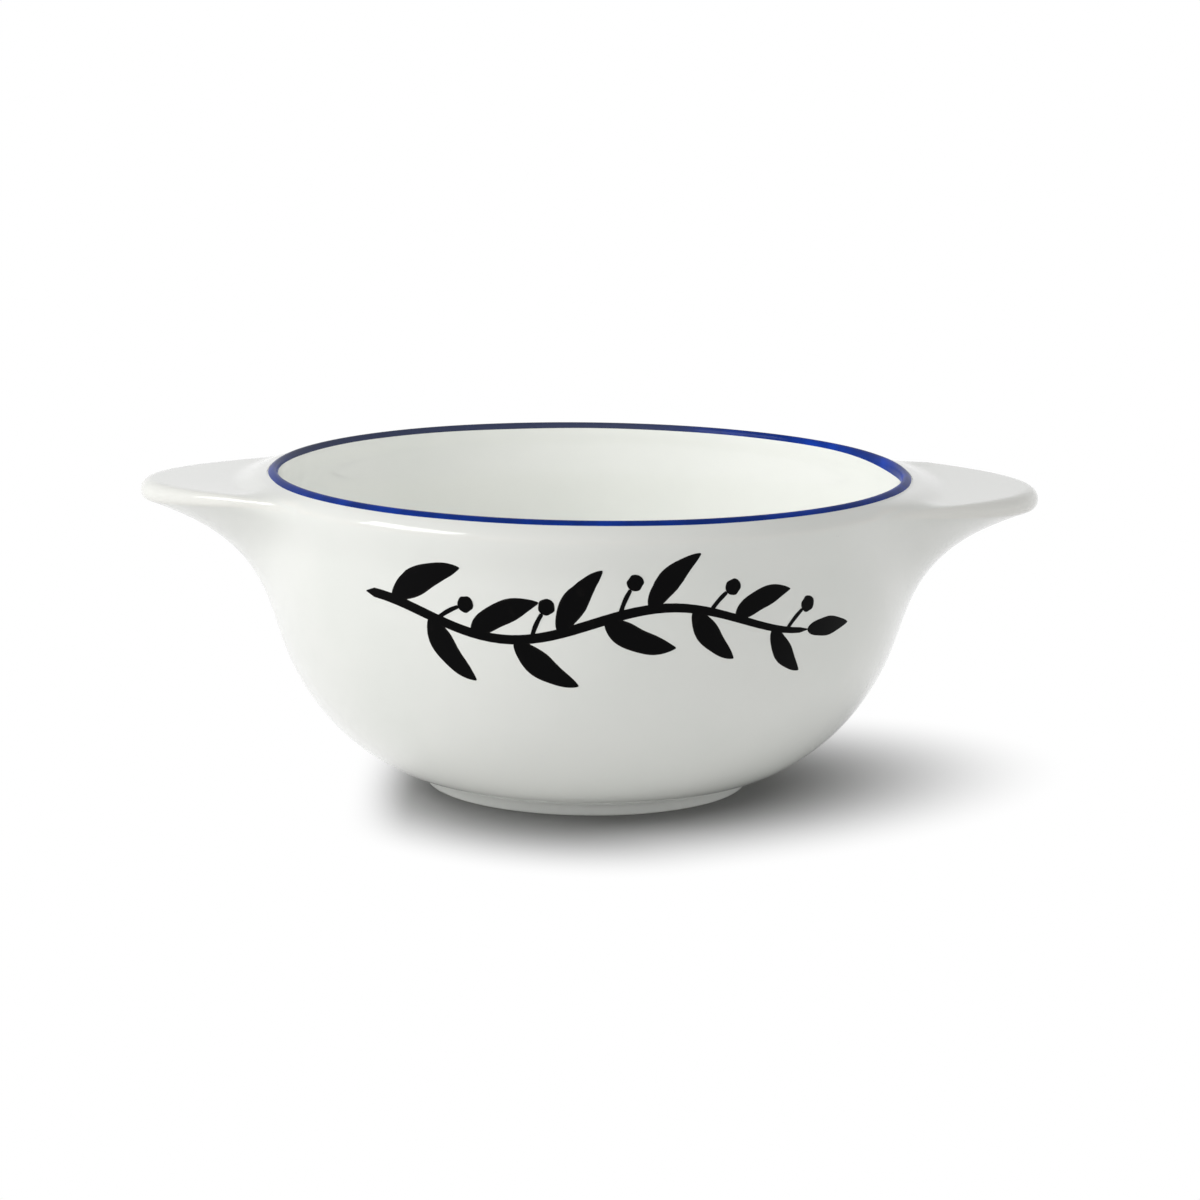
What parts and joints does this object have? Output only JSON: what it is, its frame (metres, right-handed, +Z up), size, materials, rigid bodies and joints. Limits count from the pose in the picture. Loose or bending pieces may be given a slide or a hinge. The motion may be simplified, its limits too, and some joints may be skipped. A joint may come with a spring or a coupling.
{
  "type": "eared bowl",
  "caption": "Round glazed earthenware bowl with an everted painted lip, flat ears level with the rim to hold it by, and a low foot ring; for hot drinks and soup.",
  "frame": {"origin": "centre of the plane that the foot ring rests on", "axes": "+X runs to the tip of the right ear, +Z is up out of the mouth, +Y is to the back as the picture shows it"},
  "size_m": [0.1786, 0.1314, 0.0635],
  "materials": {
    "glazed_clay": "glossy off-white glaze over fired earthenware",
    "slip": "dry pale fired slip",
    "cobalt": "glossy cobalt blue brushed line",
    "brush_black": "glossy black brushed ornament"
  },
  "bodies": {
    "root": {"bowl_wall": "glazed_clay", "foot_ring": "glazed_clay", "foot_slip": "slip", "rim_line": "cobalt", "right_ear": "glazed_clay", "right_ear_slip": "slip", "left_ear": "glazed_clay", "left_ear_slip": "slip"}
  },
  "joints": []
}
